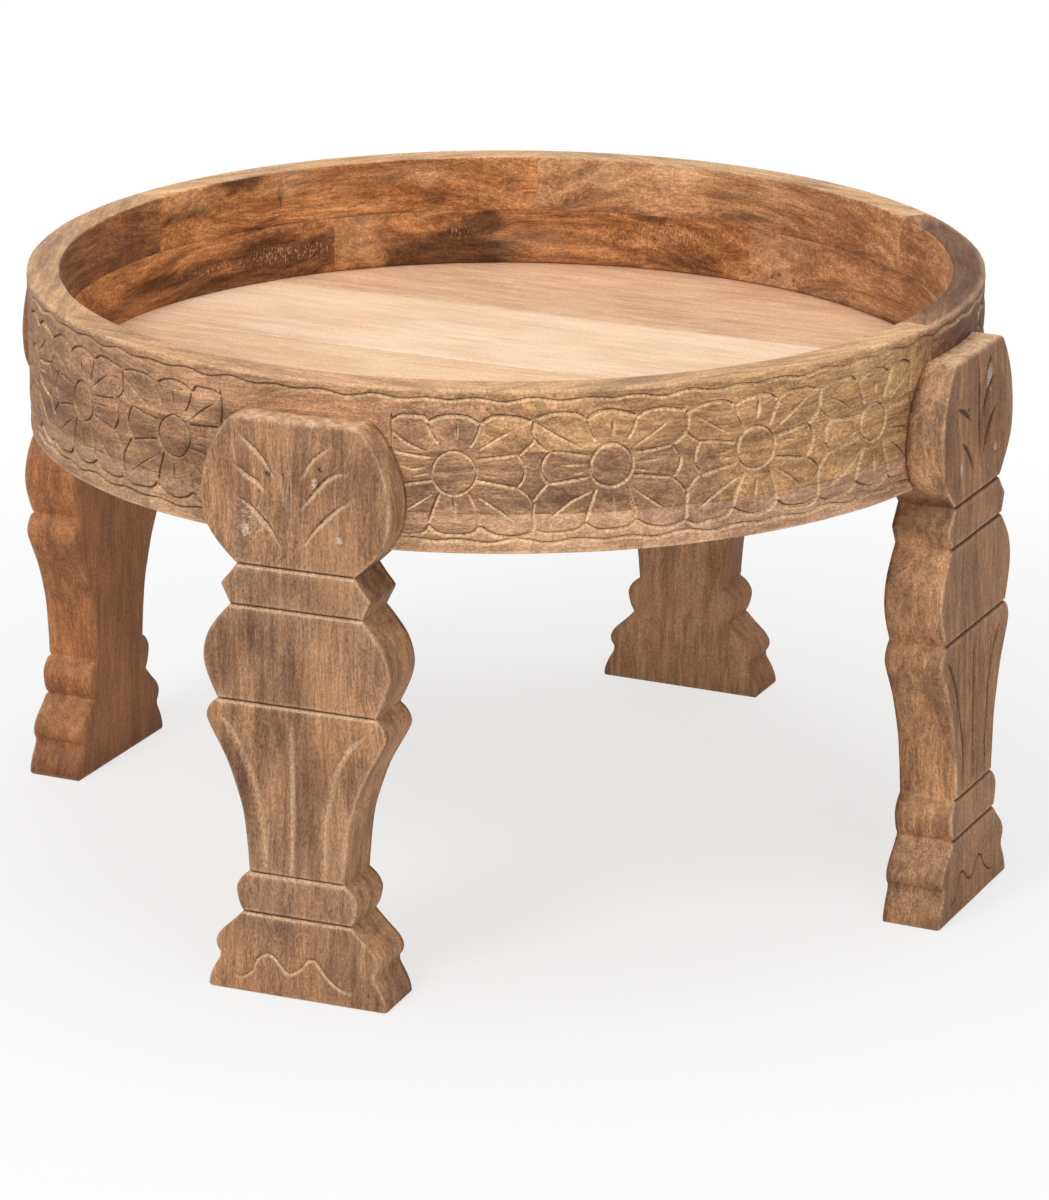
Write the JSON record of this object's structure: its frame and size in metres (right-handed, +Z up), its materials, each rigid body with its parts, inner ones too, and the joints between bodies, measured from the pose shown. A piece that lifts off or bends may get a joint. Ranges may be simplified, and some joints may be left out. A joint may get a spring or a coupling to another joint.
{
  "type": "bajot low table",
  "caption": "Round low wooden tray table: carved brick-laid wall, plank floor and sawn slab legs coped to the outside of the wall.",
  "frame": {"origin": "on the floor under the middle of the table: bottom centre of the bounding box", "axes": "+Z up; -Y is the front, towards the viewer of the picture; +X is the viewer's right"},
  "size_m": [0.6352, 0.6396, 0.376],
  "materials": {
    "ring_wood_golden": "sanded and waxed matt, golden brown",
    "ring_wood_tan": "sanded and waxed matt, tan with small knots",
    "ring_wood_orange": "sanded and waxed matt, orange brown",
    "ring_wood_brown": "sanded and waxed matt, dark heartwood",
    "ring_wood_grey": "sanded and waxed matt, greyish brown",
    "floor_wood": "pale, fine sanded, matt",
    "leg_wood": "sanded and waxed matt, with carved lines",
    "batten_wood": "plain sawn",
    "steel": "dull plain steel"
  },
  "bodies": {
    "root": {"rim_block_1": "ring_wood_golden", "rim_block_2": "ring_wood_grey", "rim_block_3": "ring_wood_tan", "rim_block_4": "ring_wood_orange", "rim_block_5": "ring_wood_brown", "rim_block_6": "ring_wood_orange", "wall_block_1": "ring_wood_golden", "wall_block_2": "ring_wood_grey", "wall_block_3": "ring_wood_orange", "wall_block_4": "ring_wood_orange", "wall_block_5": "ring_wood_brown", "wall_block_6": "ring_wood_golden", "base_block_1": "ring_wood_golden", "base_block_2": "ring_wood_tan", "base_block_3": "ring_wood_golden", "base_block_4": "ring_wood_orange", "base_block_5": "ring_wood_tan", "base_block_6": "ring_wood_tan", "floor_board_1": "floor_wood", "floor_board_2": "floor_wood", "floor_board_3": "floor_wood", "floor_board_4": "floor_wood", "floor_board_5": "floor_wood", "floor_batten_1": "batten_wood", "floor_batten_2": "batten_wood", "batten_screw_1": "steel", "batten_screw_2": "steel", "batten_screw_3": "steel", "batten_screw_4": "steel", "batten_screw_5": "steel", "batten_screw_6": "steel", "batten_screw_7": "steel", "batten_screw_8": "steel", "batten_screw_9": "steel", "batten_screw_10": "steel", "leg_front_left": "leg_wood", "nail_front_left_left": "steel", "nail_front_left_right": "steel", "screw_front_left_left": "steel", "screw_front_left_right": "steel", "leg_front_right": "leg_wood", "nail_front_right_left": "steel", "nail_front_right_right": "steel", "screw_front_right_left": "steel", "screw_front_right_right": "steel", "leg_back_right": "leg_wood", "nail_back_right_left": "steel", "nail_back_right_right": "steel", "screw_back_right_left": "steel", "screw_back_right_right": "steel", "leg_back_left": "leg_wood", "nail_back_left_left": "steel", "nail_back_left_right": "steel", "screw_back_left_left": "steel", "screw_back_left_right": "steel"}
  },
  "joints": []
}
